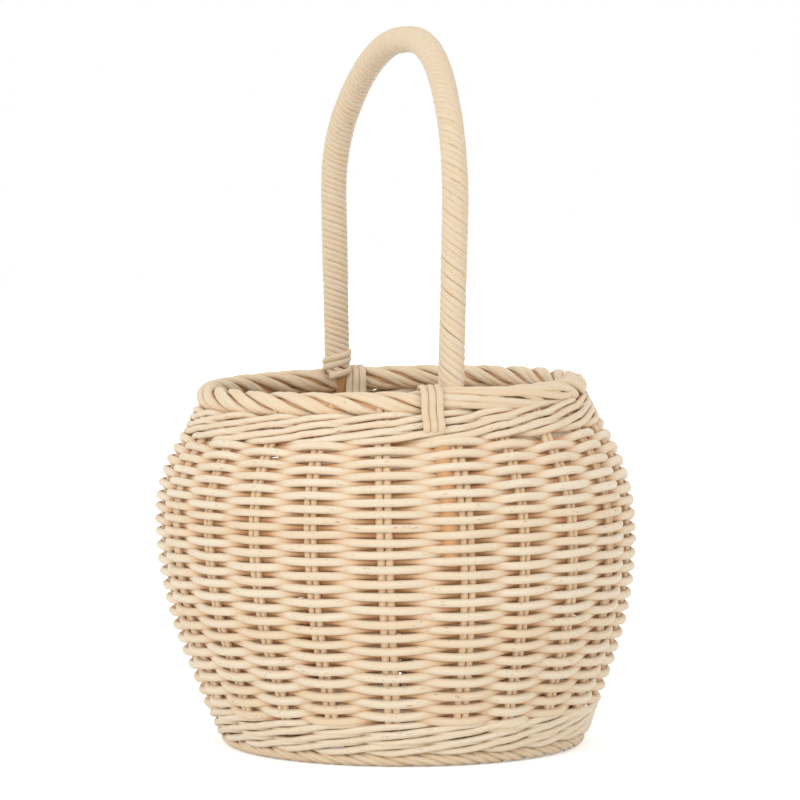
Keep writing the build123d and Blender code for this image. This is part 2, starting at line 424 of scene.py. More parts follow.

# %% [markdown]
# ## Cane
#
# Peeled cane is matt and pale, with fine lines along it where its fibres run, slow changes from cream to
# honey, and small brown flecks. Where one rod lies under another, it is given a warm brown painted shade
# in place of the shadow that falls there, and on faces turned into the basket the same is done as seen
# from inside. Each tree writes three things on its mesh for this: how far along and around the rod a
# point is, a number for the rod, and how far it lies under its neighbours, which sets the painted shade.

# %% A shader group for the look of cane
def new_group(kind, name, inputs, outputs):
    """A node group with named inputs, given as name: (socket type, value), and named outputs."""
    tree = bpy.data.node_groups.new(name, kind)
    for label, (socket, value) in inputs.items():
        item = tree.interface.new_socket(label, in_out="INPUT", socket_type=socket)
        if value is not None:
            item.default_value = value
    for label, socket in outputs.items():
        tree.interface.new_socket(label, in_out="OUTPUT", socket_type=socket)
    start = tree.nodes.new("NodeGroupInput")
    end = tree.nodes.new("NodeGroupOutput")
    return tree, {socket.name: socket for socket in start.outputs}, end


def read_attribute(tree, name, output):
    return add_node(tree, "ShaderNodeAttribute", attribute_name=name).outputs[output]


def noise(tree, vector, scale, detail=2.0, roughness=0.5):
    inputs = {"Vector": vector, "Scale": scale, "Detail": detail, "Roughness": roughness}
    return Wire(add_node(tree, "ShaderNodeTexNoise", inputs).outputs["Fac"])


def blend(tree, factor, first, second, kind="MIX"):
    """Mixes two colours."""
    node = tree.nodes.new("ShaderNodeMix")
    node.data_type, node.blend_type = "RGBA", kind
    for key, value in ((0, factor), (6, first), (7, second)):
        value = value.socket if isinstance(value, Wire) else value
        if isinstance(value, bpy.types.NodeSocket):
            tree.links.new(value, node.inputs[key])
        else:
            node.inputs[key].default_value = value
    return node.outputs[2]


def cane_look():
    inputs = {
        "Pale": ("NodeSocketColor", (0.845, 0.74, 0.57, 1)),
        "Honey": ("NodeSocketColor", (0.77, 0.55, 0.33, 1)),
        # Shade and Shade amount: painted shade for cane under other rods, a warm brown like shadow in bounced
        # light
        "Shade": ("NodeSocketColor", (0.66, 0.33, 0.12, 1)),
        "Honey amount": ("NodeSocketFloat", 0.45),
        "Shade amount": ("NodeSocketFloat", 0.75),
        "Two sided": ("NodeSocketFloat", 0.0),
        "Flecks": ("NodeSocketFloat", 0.6),
    }
    outputs = {"Color": "NodeSocketColor", "Roughness": "NodeSocketFloat", "Height": "NodeSocketFloat"}
    tree, given, end = new_group("ShaderNodeTree", "cane_look", inputs, outputs)
    cane = Arrow(read_attribute(tree, "cane", "Vector"))
    strand = Wire(read_attribute(tree, "strand", "Fac"))
    tucked_shade = Wire(read_attribute(tree, "tucked_shade", "Fac"))
    along = cane.part(0)
    around = (cane.part(1), cane.part(2))

    def wrapped(along_scale, around_scale, shift):
        """A place on the rod's skin, without a seam, different for every rod."""
        return arrow(
            tree,
            (along * along_scale + strand * shift).socket,
            (around[0] * around_scale).socket,
            (around[1] * around_scale + strand * 3.7).socket,
        ).socket

    fibres = noise(tree, wrapped(26, 3.4, 61), 1.0, 3.0, 0.65)
    fine = noise(tree, wrapped(70, 10, 97), 1.0, 2.0, 0.6)
    slow = noise(tree, wrapped(14, 0.5, 41), 1.0, 3.0, 0.6)
    spots = noise(tree, wrapped(260, 2.6, 23), 1.0, 3.0, 0.7)
    own = (strand * 91.7).fraction()

    honey = ramp(tree, slow + (own - 0.5) * 0.45 + (fibres - 0.5) * 0.5, 0.36, 0.74)
    color = blend(tree, honey * Wire(given["Honey amount"]), given["Pale"], given["Honey"])
    streak = ramp(tree, fibres * 0.6 + fine * 0.4, 0.36, 0.6)
    color = blend(tree, streak * -0.5 + 0.5, color, given["Honey"])
    fleck = ramp(tree, spots + (fibres - 0.5) * 0.3, 0.63, 0.72) * Wire(given["Flecks"])
    color = blend(tree, fleck, color, (0.30, 0.15, 0.07, 1))
    # Painted shade: the further a rod lies under its neighbours, the more it is mixed towards Shade. With
    # Inward shade, faces turned into the basket are shaded as seen from inside.
    geometry = tree.nodes.new("ShaderNodeNewGeometry")
    place = Arrow(add_node(tree, "ShaderNodeTexCoord").outputs["Object"])
    radial = arrow(tree, place.part(0), place.part(1)).unit()
    facing = Arrow(geometry.outputs["Normal"]).math("DOT_PRODUCT", radial)
    facing = Wire(facing.socket.node.outputs["Value"])
    inward = ramp(tree, facing, -0.5, 0.3, invert=True) * Wire(given["Two sided"])
    tucked_shade = tucked_shade + inward * (tucked_shade * -2.0 + 1.0)
    painted_shade = ramp(tree, tucked_shade, 0.25, 1.0) * Wire(given["Shade amount"])
    color = blend(tree, painted_shade, color, given["Shade"])
    tree.links.new(color, end.inputs["Color"])
    tree.links.new((fine * 0.2 + 0.5).socket, end.inputs["Roughness"])
    tree.links.new((fibres * 0.7 + fine * 0.3).socket, end.inputs["Height"])
    return tree


CANE_LOOK = cane_look()


def cane_material(name, relief=0.0005, sheen=0.15, **values):
    """A matt cane finish. The values are those of the cane_look group, by label."""
    material = bpy.data.materials.new(name)
    material.use_nodes = True
    tree = material.node_tree
    shader = tree.nodes["Principled BSDF"]
    shader.inputs["Specular IOR Level"].default_value = 0.3
    shader.inputs["Sheen Weight"].default_value = sheen
    shader.inputs["Sheen Roughness"].default_value = 0.5
    look = tree.nodes.new("ShaderNodeGroup")
    look.node_tree = CANE_LOOK
    for key, value in values.items():
        look.inputs[key.replace("_", " ").capitalize()].default_value = value
    grain = {"Height": look.outputs["Height"], "Distance": relief, "Strength": 0.7}
    bump = add_node(tree, "ShaderNodeBump", grain)
    tree.links.new(look.outputs["Color"], shader.inputs["Base Color"])
    tree.links.new(look.outputs["Roughness"], shader.inputs["Roughness"])
    tree.links.new(bump.outputs["Normal"], shader.inputs["Normal"])
    return material


# The Shade amounts set how much painted shade each cane takes where it lies under others; stakes take little.
weave_cane = cane_material("weave_cane", Shade_amount=0.85, Two_sided=1.0, Flecks=0.8)
stake_cane = cane_material(
    "stake_cane", Pale=(0.92, 0.73, 0.50, 1), Honey_amount=0.4, Shade_amount=0.25, Flecks=0.8)
border_cane = cane_material("border_cane", Pale=(0.81, 0.675, 0.49, 1), Shade_amount=0.7)
wrap_cane = cane_material("wrap_cane", Pale=(0.75, 0.63, 0.465, 1), Honey_amount=0.4, Shade_amount=0.5)
bow_rod = cane_material("bow_rod", Pale=(0.74, 0.47, 0.24, 1), Honey=(0.55, 0.29, 0.12, 1))
base_cane = cane_material("base_cane", Honey_amount=0.7)
print("finishes:", [m.name for m in bpy.data.materials])

# %% [markdown]
# ## One tree that makes a rod into cane
#
# Every rod here starts as a curve. This group gives it its thickness, which changes a little along it,
# closes its ends, and writes the values that the cane finish reads. All the other trees end with it.

# %% The round_cane group
GEOMETRY, FLOAT, INT, MATERIAL = (
    "NodeSocketGeometry", "NodeSocketFloat", "NodeSocketInt", "NodeSocketMaterial")


def store(tree, geometry, name, value, kind="FLOAT"):
    """Writes a value on each point of a curve or mesh, under a name."""
    inputs = {"Geometry": geometry, "Name": name, "Value": value}
    node = add_node(tree, "GeometryNodeStoreNamedAttribute", inputs, data_type=kind, domain="POINT")
    return node.outputs[0]


def capture(tree, geometry, value, kind="FLOAT"):
    """Keeps a value as it is on the geometry now. Returns the geometry and the kept value."""
    node = tree.nodes.new("GeometryNodeCaptureAttribute")
    node.capture_items.new(kind, "kept")
    value = value.socket if isinstance(value, (Wire, Arrow)) else value
    tree.links.new(geometry, node.inputs[0])
    tree.links.new(value, node.inputs[1])
    return node.outputs[0], node.outputs[1]


def named(tree, name):
    node = add_node(tree, "GeometryNodeInputNamedAttribute", {"Name": name}, data_type="FLOAT")
    return Wire(node.outputs["Attribute"])


def wires(given):
    return {name: Wire(socket) for name, socket in given.items()}


def along_curve(tree, output="Length"):
    return Wire(add_node(tree, "GeometryNodeSplineParameter").outputs[output])


def round_cane():
    inputs = {
        "Geometry": (GEOMETRY, None),
        "Width": (FLOAT, 0.0036),
        "Thickness": (FLOAT, 0.0036),
        "Sides": (INT, 10),
        "Uneven": (FLOAT, 0.06),
        "Material": (MATERIAL, None),
    }
    tree, given, end = new_group("GeometryNodeTree", "round_cane", inputs, {"Geometry": GEOMETRY})
    curve, along = capture(tree, given["Geometry"], along_curve(tree))
    place = arrow(tree, (Wire(along) * 45.0 + named(tree, "strand") * 37.0).socket).socket
    size = (noise(tree, place, 1.0, 2.0) - 0.5) * Wire(given["Uneven"]) * 2.0 + 1.0
    size = size * (named(tree, "swell") + 1.0)
    curve = add_node(tree, "GeometryNodeSetCurveRadius", {0: curve, "Radius": size}).outputs[0]

    outline = {"Resolution": given["Sides"], "Radius": 0.5}
    circle = add_node(tree, "GeometryNodeCurvePrimitiveCircle", outline)
    turn = along_curve(tree, "Factor") * TAU
    profile, cosine = capture(tree, circle.outputs[0], turn.cos())
    profile, sine = capture(tree, profile, turn.sin())
    oval = arrow(tree, given["Thickness"], given["Width"], 1.0)
    profile = add_node(tree, "GeometryNodeTransform", {"Geometry": profile, "Scale": oval.socket}).outputs[0]
    sweep = {"Curve": curve, "Profile Curve": profile, "Fill Caps": True}
    swept = add_node(tree, "GeometryNodeCurveToMesh", sweep)
    if "Scale" in swept.inputs:
        tree.links.new(size.socket, swept.inputs["Scale"])
    skin = store(tree, swept.outputs[0], "cane", arrow(tree, along, cosine, sine).socket, "FLOAT_VECTOR")
    smooth = add_node(tree, "GeometryNodeSetShadeSmooth", {0: skin}).outputs[0]
    whole = add_node(tree, "GeometryNodeRealizeInstances", {0: smooth}).outputs[0]
    painted = add_node(tree, "GeometryNodeSetMaterial", {"Geometry": whole, "Material": given["Material"]})
    tree.links.new(painted.outputs[0], end.inputs["Geometry"])
    return tree


ROUND_CANE = round_cane()


def end_with_cane(tree, curve, given, end):
    """Ends a tree with round_cane, fed from the tree's own inputs of the same names."""
    inputs = {name: given[name] for name in ("Width", "Thickness", "Sides", "Uneven", "Material")}
    group = tree.nodes.new("GeometryNodeGroup")
    group.node_tree = ROUND_CANE
    tree.links.new(curve, group.inputs["Geometry"])
    for name, socket in inputs.items():
        tree.links.new(socket, group.inputs[name])
    tree.links.new(group.outputs[0], end.inputs["Geometry"])


CANE_INPUTS = {
    "Width": (FLOAT, 0.0036),
    "Thickness": (FLOAT, 0.0036),
    "Sides": (INT, 10),
    "Uneven": (FLOAT, 0.06),
    "Seed": (FLOAT, 0.0),
    "Material": (MATERIAL, None),
}

# %% [markdown]
# ## Weaving round stakes
#
# All weaving on stakes is the same thing: rods that climb slowly round the basket and pass outside some
# stakes and inside others. Plain weaving here is done with two rods that start on opposite sides, so
# each row goes outside the stakes that the row below goes inside. Waling is done with three rods that
# start at neighbouring stakes, each outside two and inside one, and each lying over the last. One tree
# does both, and the base too, because it only needs a line to climb: the wall line, or a flat line from
# the middle of the base to its edge.

# %% The woven_course tree
BOW_TWIST = math.radians(-8.4)       # how far round the bow's ends are pushed, past a stake
BOW_SPREAD = 0.12                    # how far round, in radians, the rods bulge beside the bow


def woven_course():
    inputs = {
        "Geometry": (GEOMETRY, None),
        "Stakes": (INT, 22),
        "First stake": (FLOAT, 0.0),
        "Rods": (INT, 2),
        "Cycle": (FLOAT, 2.0),
        "Start spacing": (FLOAT, 11.0),
        "First rod": (FLOAT, 0.0),
        "Rounds": (FLOAT, 2.5),
        "Start length": (FLOAT, 0.0),
        "Climb": (FLOAT, 0.0067),
        "Swing": (FLOAT, 0.0034),
        "Bow swell": (FLOAT, 0.0),
        "Lift": (FLOAT, 0.0),
        "Wobble": (FLOAT, 0.0005),
        "Steps": (INT, 14),
        **CANE_INPUTS,
    }
    tree, given, end = new_group("GeometryNodeTree", "woven_course", inputs, {"Geometry": GEOMETRY})
    wire = wires(given)
    run = wire["Rounds"] * wire["Stakes"]
    count = run * wire["Steps"] + 1.0
    line = add_node(tree, "GeometryNodeCurvePrimitiveLine").outputs[0]
    line = add_node(tree, "GeometryNodeResampleCurve", {"Curve": line, "Count": count}).outputs[0]
    copies = add_node(
        tree, "GeometryNodeDuplicateElements", {"Geometry": line, "Amount": given["Rods"]}, domain="SPLINE")
    number = Wire(copies.outputs["Duplicate Index"])
    curve = store(tree, copies.outputs[0], "strand", (number * 0.37 + wire["Seed"] * 0.113).socket)

    passed = along_curve(tree, "Factor") * run
    at_stake = passed + number * wire["Start spacing"] + wire["First rod"]
    curve, at_stake = capture(tree, curve, at_stake)
    curve, passed = capture(tree, curve, passed)
    curve, number = capture(tree, curve, number)
    at_stake, passed, number = Wire(at_stake), Wire(passed), Wire(number)
    part = ((at_stake + number) / wire["Cycle"]).fraction()
    nearest = part.math("MINIMUM", part * -1.0 + 1.0) * wire["Cycle"]
    outside = (nearest.math("MINIMUM", 1.0) * math.pi).cos() * -1.0
    angle = at_stake / wire["Stakes"] * TAU + wire["First stake"]
    off_bow = (angle - BOW_TWIST).sin() / BOW_SPREAD
    near_bow = (off_bow * off_bow * -1.0).math("EXPONENT")
    swing = wire["Swing"] * (near_bow * wire["Bow swell"] + 1.0)

    lifted = (part * TAU).sin() * wire["Lift"]
    height = wire["Start length"] + passed / wire["Stakes"] * wire["Climb"] - lifted
    east, north = angle.cos(), angle.sin()
    ring_place = (height * 60.0 + wire["Seed"]).socket
    ring = arrow(tree, (east * 3.0).socket, (north * 3.0).socket, ring_place)
    drift = noise(tree, ring.socket, 1.0, 1.0) - 0.5
    own_place = (height * 400.0 + number * 5.0).socket
    own = arrow(tree, (east * 9.0).socket, (north * 9.0).socket, own_place)
    shake = noise(tree, own.socket, 1.0, 1.0) - 0.5
    height = height + (drift * 2.6 + shake * 1.1) * wire["Wobble"]

    sample = add_node(
        tree, "GeometryNodeSampleCurve", {"Curves": given["Geometry"], "Length": height}, mode="LENGTH")
    spot = Arrow(sample.outputs["Position"])
    climb = Arrow(sample.outputs["Tangent"])
    outward = climb.cross((0.0, 1.0, 0.0)) * -1.0
    spot = spot + outward * (outside * swing + shake * wire["Wobble"]).socket
    turned = add_node(
        tree, "ShaderNodeVectorRotate", {"Vector": spot.socket, "Angle": angle}, rotation_type="Z_AXIS")
    # how far inside the stakes the rod passes, which sets its painted shade in cane_look
    curve = store(tree, curve, "tucked_shade", (outside * -0.5 + 0.5).socket)
    placed = {"Geometry": curve, "Position": turned.outputs[0]}
    curve = add_node(tree, "GeometryNodeSetPosition", placed).outputs[0]
    end_with_cane(tree, curve, given, end)
    return tree


WOVEN_COURSE = woven_course()
print("trees:", [group.name for group in bpy.data.node_groups])

# %% [markdown]
# ## The wall
#
# The eight lengths of cane in the plain weaving each climb a little over five rows. Their courses meet
# end to end along the wall line, so the length of wall line below each course is measured first.

# %% Measure the wall line
def smooth_line_length(points, count=400):
    """Length along a smooth curve through the points, at each of its points."""
    guide = curve_object("guide", [(r, 0, z) for r, z in points], smooth=True)
    mesh = bpy.data.meshes.new_from_object(guide)
    line = np.array([v.co for v in mesh.vertices])
    bpy.data.objects.remove(guide)
    lengths = np.concatenate([[0], np.cumsum(np.linalg.norm(np.diff(line, axis=0), axis=1))])
    return np.interp([z for _, z in points], line[:, 2], lengths)


def past_end(end, before, more):
    """A point on the straight line from before through end, this much higher or lower."""
    slope = (end[0] - before[0]) / (end[1] - before[1])
    return end[0] + slope * more, end[1] + more


PAST_END = 0.004
wall_points = [past_end(*wall_edges[:2], -PAST_END), *wall_edges, past_end(*wall_edges[:-3:-1], PAST_END)]
wall_knots = [(r, 0.0, z) for r, z in wall_points]
course_start = smooth_line_length(wall_points)[1:-1]
STAKE_COUNT = sum(name.startswith("stake_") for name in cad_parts)
STAKE_PITCH = TAU / STAKE_COUNT
stake_middle = node_points("stake_01").mean(axis=0)
FIRST_STAKE = math.atan2(stake_middle[1], stake_middle[0])
print("stakes:", STAKE_COUNT, "first at", round(math.degrees(FIRST_STAKE), 2), "degrees")
print("wall line, mm:", np.round(course_start * 1000, 1))


def wall_line(name):
    return curve_object(name, wall_knots, smooth=True)


# %% Weave the side, with two rods chasing each other
SIDE_CANE = 0.0042
STEEP_EXTRA = 0.0003                 # thicker cane where the wall leans, so that less light shows
STEEP_COURSES = (0, 1, 6, 7)
BOW_ROD_COURSES = SIDE_COURSES[4:]   # the bow's ends stand inside these
SIDE_SWELL = 0.2                     # how much further out their rods swing beside the bow
ROW_PITCH = 0.0034
side_length = course_start[9] - course_start[1]
rounds_each = side_length / len(SIDE_COURSES) / (2 * ROW_PITCH)
for i, node in enumerate(SIDE_COURSES):
    thick = SIDE_CANE + (STEEP_EXTRA if i in STEEP_COURSES else 0.0)
    finish_piece(
        f"{node}_cane", wall_line(node), [node], "weave_cane", WOVEN_COURSE,
        stakes=STAKE_COUNT, first_stake=FIRST_STAKE, rods=2, cycle=2.0,
        start_spacing=STAKE_COUNT / 2, first_rod=i * rounds_each * STAKE_COUNT, rounds=rounds_each,
        start_length=float(course_start[1 + i]) + ROW_PITCH / 4, climb=2 * ROW_PITCH,
        swing=0.0029, bow_swell=SIDE_SWELL if node in BOW_ROD_COURSES else 0.0, wobble=0.0006, steps=14,
        width=thick, thickness=thick,
        sides=10, uneven=0.08, seed=float(i), material=weave_cane)


# %% [markdown]
# ## Rope and wrapping
#
# A rolled border looks like a rope, because the ends of the stakes are laid over each other at a slant,
# all the way round. The flat cane on the handle does the same round the bow. Both are strands that wind
# round a middle line, so one tree makes them: it copies the middle line once for each strand and moves
# each copy out to its place on the winding.

# %% The laid_strands tree
def laid_strands():
    inputs = {
        "Geometry": (GEOMETRY, None),
        "Strands": (INT, 6),
        "Turns": (FLOAT, 11.0),
        "Across": (FLOAT, 0.0046),
        "Upright": (FLOAT, 0.0046),
        "Upright axis": ("NodeSocketVector", (0.0, 0.0, 1.0)),
        "Steps": (INT, 600),
        "First turn": (FLOAT, 0.0),
        "Share": (FLOAT, 1.0),
        "Quickening": (FLOAT, 0.0),
        "Tilt": (FLOAT, 0.0),
        "Core": (INT, 0),
        "Core swell": (FLOAT, 0.0),
        "Bunching": (FLOAT, 0.2),
        "Wobble": (FLOAT, 0.25),
        "Loose": (FLOAT, 0.08),
        "End sink": (FLOAT, 0.0),
        "Sink from": (FLOAT, 0.95),
        "Under shade": (FLOAT, 0.6),
        **CANE_INPUTS,
    }
    tree, given, end = new_group("GeometryNodeTree", "laid_strands", inputs, {"Geometry": GEOMETRY})
    wire = wires(given)
    upright = Arrow(given["Upright axis"])
    line = add_node(tree, "GeometryNodeResampleCurve", {"Curve": given["Geometry"], "Count": given["Steps"]})
    copies = add_node(
        tree, "GeometryNodeDuplicateElements",
        {"Geometry": line.outputs[0], "Amount": wire["Strands"] + wire["Core"]}, domain="SPLINE")
    number = Wire(copies.outputs["Duplicate Index"])
    curve = store(tree, copies.outputs[0], "strand", (number * 0.41 + wire["Seed"] * 0.19).socket)
    is_core = (number + 0.5).math("GREATER_THAN", wire["Strands"])
    curve = store(tree, curve, "swell", (is_core * wire["Core swell"]).socket)
    curve, number = capture(tree, curve, number)
    curve, factor = capture(tree, curve, along_curve(tree, "Factor"))
    curve, tangent = capture(tree, curve, add_node(tree, "GeometryNodeInputTangent").outputs[0], "VECTOR")
    curve, middle = capture(tree, curve, add_node(tree, "GeometryNodeInputPosition").outputs[0], "VECTOR")
    number, factor, tangent, middle = Wire(number), Wire(factor), Arrow(tangent), Arrow(middle)

    place = (middle * 30.0) + arrow(tree, (number * 7.0 + wire["Seed"]).socket)
    stray = noise(tree, place.socket, 1.0, 2.0) - 0.5
    paired = number.math("MODULO", 2.0) * -2.0 + 1.0
    wound = factor + (factor * factor - factor) * wire["Quickening"]
    turn = (number / wire["Strands"] * wire["Share"] + wire["First turn"] - wound * wire["Turns"]) * TAU
    turn = turn + paired * wire["Bunching"] + stray * wire["Wobble"] * 2.0
    outward = tangent.cross(upright).unit()
    curve, is_core = capture(tree, curve, named(tree, "swell").math("GREATER_THAN", 0.0))
    is_core = Wire(is_core)
    size = (stray * wire["Loose"] * 2.0 + 1.0) * (is_core * -1.0 + 1.0)
    size = size * (ramp(tree, factor, wire["Sink from"], 1.0) * wire["End sink"] * -1.0 + 1.0)
    aside = outward * (turn.cos() * wire["Across"] * size).socket
    up = upright * (turn.sin() * wire["Upright"] * size).socket
    tilted = turn + wire["Tilt"]
    facing = outward * tilted.cos().socket + upright * tilted.sin().socket
    curve, facing = capture(tree, curve, facing, "VECTOR")
    # painted shade: the underside of each strand is darker, and the core inside is fully shaded
    under = ((turn.sin() * -0.5 + 0.5) * wire["Under shade"]).math("MAXIMUM", is_core)
    curve = store(tree, curve, "tucked_shade", under.socket)
    spot = (middle + aside + up).socket
    curve = add_node(tree, "GeometryNodeSetPosition", {"Geometry": curve, "Position": spot}).outputs[0]
    normal = add_node(tree, "GeometryNodeSetCurveNormal", {"Curve": curve, "Normal": facing}, mode="FREE")
    end_with_cane(tree, normal.outputs[0], given, end)
    return tree


LAID_STRANDS = laid_strands()

# %% The two borders
lo, hi = (np.array(corner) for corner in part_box("rim_border"))
RIM_CANE = 0.0036
rim_across = (hi[2] - lo[2] - RIM_CANE) / 2
rim_radius, rim_level = hi[0] - (hi[2] - lo[2]) / 2, (lo[2] + hi[2]) / 2
rim_line = curve_object("rim", ring_points(rim_radius, rim_level), closed=True)
finish_piece(
    "rim_border_rope", rim_line, ["rim_border"], "border_cane", LAID_STRANDS,
    strands=8, turns=8.0, core=1, core_swell=0.95, across=rim_across, upright=rim_across,
    steps=900, bunching=0.2, wobble=0.5, loose=0.12, under_shade=0.6, width=RIM_CANE * 1.06,
    thickness=RIM_CANE * 0.86, sides=10, uneven=0.12, seed=3.0, material=border_cane)

tail_turns = np.radians(np.linspace(-8, 44, 40))
tail_line = [(rim_radius * math.cos(a), rim_radius * math.sin(a), rim_level) for a in tail_turns]
finish_piece(
    "rim_border_tails", curve_object("tails", tail_line), ["rim_border"], "border_cane", LAID_STRANDS,
    strands=4, first_turn=0.0, share=0.36, turns=0.22, across=rim_across * 1.28,
    upright=rim_across * 1.28, steps=120, bunching=0.05, wobble=0.35, loose=0.1, under_shade=0.3,
    width=RIM_CANE, thickness=RIM_CANE * 0.7, sides=12, uneven=0.12, seed=6.0, material=border_cane)

lo, hi = (np.array(corner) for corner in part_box("foot_border"))
FOOT_CANE = 0.0032
FOOT_WIDTH = 0.010
foot_line = curve_object("foot", ring_points(hi[0] - FOOT_WIDTH / 2, (lo[2] + hi[2]) / 2), closed=True)
finish_piece(
    "foot_border_rope", foot_line, ["foot_border"], "border_cane", LAID_STRANDS,
    strands=6, turns=12.0, core=1, core_swell=0.4, across=(FOOT_WIDTH - FOOT_CANE) / 2,
    upright=(hi[2] - lo[2] - FOOT_CANE) / 2, steps=1000, bunching=0.1, wobble=0.25, loose=0.0,
    under_shade=0.4, width=FOOT_CANE, thickness=FOOT_CANE, sides=10, uneven=0.05, seed=8.0,
    material=border_cane)

# %% [markdown]
# ## Waling
#
# The upsett and the neck are waled: three rods, each outside two stakes and inside one.

# %% Waling at the foot and at the neck
WALE_CANE = 0.0036


def wale(node, start, rounds, climb, lift, seed, swell=0.0):
    return finish_piece(
        f"{node}_cane", wall_line(node), [node], "weave_cane", WOVEN_COURSE,
        stakes=STAKE_COUNT, first_stake=FIRST_STAKE, rods=3, cycle=3.0, start_spacing=1.0,
        first_rod=4.0 + seed, rounds=rounds, start_length=start, climb=climb, swing=0.0028,
        bow_swell=swell, lift=lift, wobble=0.0008, steps=12, width=WALE_CANE, thickness=WALE_CANE * 0.9,
        sides=10, uneven=0.06, seed=seed, material=weave_cane)


foot_start, neck_start = float(course_start[0]), float(course_start[9])
wale("upsett_wale", foot_start - 0.0005, rounds=3.1, climb=0.0049, lift=0.0024, seed=1.0)
wale("top_wale", neck_start + 0.0006, rounds=3.2, climb=0.0042, lift=0.0024, seed=2.0, swell=0.5)

# %% [markdown]
# ## Stakes
#
# Each stake is two canes side by side. They show as short ladders between the rows.

# %% The stake_canes tree, and all the stakes
def stake_canes():
    inputs = {
        "Geometry": (GEOMETRY, None),
        "Canes": (INT, 2),
        "Side step": (FLOAT, 0.0034),
        "Turn": (FLOAT, 0.0),
        "Wobble": (FLOAT, 0.0005),
        "Steps": (INT, 60),
        **CANE_INPUTS,
    }
    tree, given, end = new_group("GeometryNodeTree", "stake_canes", inputs, {"Geometry": GEOMETRY})
    wire = wires(given)
    line = add_node(tree, "GeometryNodeResampleCurve", {"Curve": given["Geometry"], "Count": given["Steps"]})
    copies = add_node(
        tree, "GeometryNodeDuplicateElements",
        {"Geometry": line.outputs[0], "Amount": given["Canes"]}, domain="SPLINE")
    number = Wire(copies.outputs["Duplicate Index"])
    curve = store(tree, copies.outputs[0], "strand", (number * 0.47 + wire["Seed"] * 0.29).socket)
    # a little painted shade all along the stakes, which stand behind the weavers
    curve = store(tree, curve, "tucked_shade", 0.35)
    aside = (number - (wire["Canes"] - 1.0) * 0.5) * wire["Side step"]
    middle = Arrow(add_node(tree, "GeometryNodeInputPosition").outputs[0])
    stray = noise(tree, (middle * 40.0 + arrow(tree, (number + wire["Seed"] * 5.0).socket)).socket, 1.0) - 0.5
    offset = arrow(tree, 0.0, (aside + stray * wire["Wobble"] * 2.0).socket, 0.0)
    curve = add_node(tree, "GeometryNodeSetPosition", {"Geometry": curve, "Offset": offset.socket}).outputs[0]
    turn = arrow(tree, 0.0, 0.0, given["Turn"])
    curve = add_node(tree, "GeometryNodeTransform", {"Geometry": curve, "Rotation": turn.socket}).outputs[0]
    end_with_cane(tree, curve, given, end)
    return tree


STAKE_CANES = stake_canes()
STAKE_CANE = 0.0034
STAKE_FOOT = 0.056
BASE_HEIGHT = 0.013
STAKE_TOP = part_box("stake_01")[1][2]
stake_knots = [
    (STAKE_FOOT, 0, BASE_HEIGHT), (0.070, 0, BASE_HEIGHT), (0.083, 0, BASE_HEIGHT + 0.0003),
    *[(r, 0, z) for r, z in wall_edges[1:]], (wall_edges[-1][0] - 0.0015, 0, STAKE_TOP),
]
for i in range(STAKE_COUNT):
    node = f"stake_{i + 1:02d}"
    finish_piece(
        f"{node}_canes", curve_object(node, stake_knots, smooth=True), [node], "stake_cane", STAKE_CANES,
        canes=2, side_step=STAKE_CANE + 0.0001, turn=FIRST_STAKE + i * STAKE_PITCH, wobble=0.0004,
        steps=70, width=STAKE_CANE, thickness=STAKE_CANE, sides=10, uneven=0.05, seed=float(i),
        material=stake_cane)

# %% [markdown]
# ## The base
#
# The base is woven like the wall, but flat. Its rods pass over and under the sticks, so the same tree
# climbs a flat line from the middle outwards.

# %% Weave the base
lo, hi = (np.array(corner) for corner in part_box("base_weaver_inner"))
split = hi[0]
edge_lo, edge_hi = (np.array(corner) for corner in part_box("base_weaver_outer"))
BASE_CANE = 0.0037
CROSS_EDGE = 0.021
base_level = (lo[2] + hi[2]) / 2
base_knots = [(CROSS_EDGE - 0.004, 0, base_level), (edge_hi[0] + 0.004, 0, base_level)]
BASE_PITCH = 0.0032
for i, (node, start, stop) in enumerate((
        ("base_weaver_inner", CROSS_EDGE, split), ("base_weaver_outer", split, edge_hi[0]))):
    rounds = (stop - start) / (2 * BASE_PITCH)
    finish_piece(
        f"{node}_cane", curve_object(node, base_knots), [node], "weave_cane", WOVEN_COURSE,
        stakes=STAKE_COUNT, first_stake=FIRST_STAKE + STAKE_PITCH / 2, rods=2, cycle=2.0,
        start_spacing=STAKE_COUNT / 2, first_rod=5.0 * i, rounds=rounds,
        start_length=float(start) - base_knots[0][0] + BASE_CANE / 2, climb=2 * BASE_PITCH,
        swing=0.0024, wobble=0.0004, steps=8, width=BASE_CANE, thickness=BASE_CANE,
        sides=8, uneven=0.06, seed=20.0 + i, material=weave_cane)

# %% [markdown]
# ## The handle
#
# The bow is bare where it stands in the wall and just above the border. Above that, flat cane winds
# round it. The front leg is wound steeply with seven strands side by side, the rear leg with five that
# lie flatter, and the two kinds meet at the top of the arch.

# %% The bow
lo, hi = (np.array(corner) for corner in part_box("handle_bow"))
BOW_THICK = hi[1] - lo[1]
BORDER_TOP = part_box("rim_border")[1][2]
BOW_SET_IN = 0.0015                  # the weavers press the bow's ends inwards
PRESS_DEPTH = 0.03                   # how far below the border that is at its fullest
pressed = np.clip((BORDER_TOP - bow_line[:, 2]) / PRESS_DEPTH, 0, 1)
reach = bow_line[:, 0] - np.sign(bow_line[:, 0]) * pressed * BOW_SET_IN
twist = pressed * BOW_TWIST
set_in = np.stack((reach * np.cos(twist), reach * np.sin(twist), bow_line[:, 2]), axis=1)
finish_piece(
    "handle_bow_rod", curve_object("bow", set_in), ["handle_bow"], "bow_rod", STAKE_CANES,
    canes=1, side_step=0.0, turn=0.0, wobble=0.0003, steps=260, width=BOW_THICK, thickness=BOW_THICK,
    sides=16, uneven=0.03, seed=5.0, material=bow_rod)

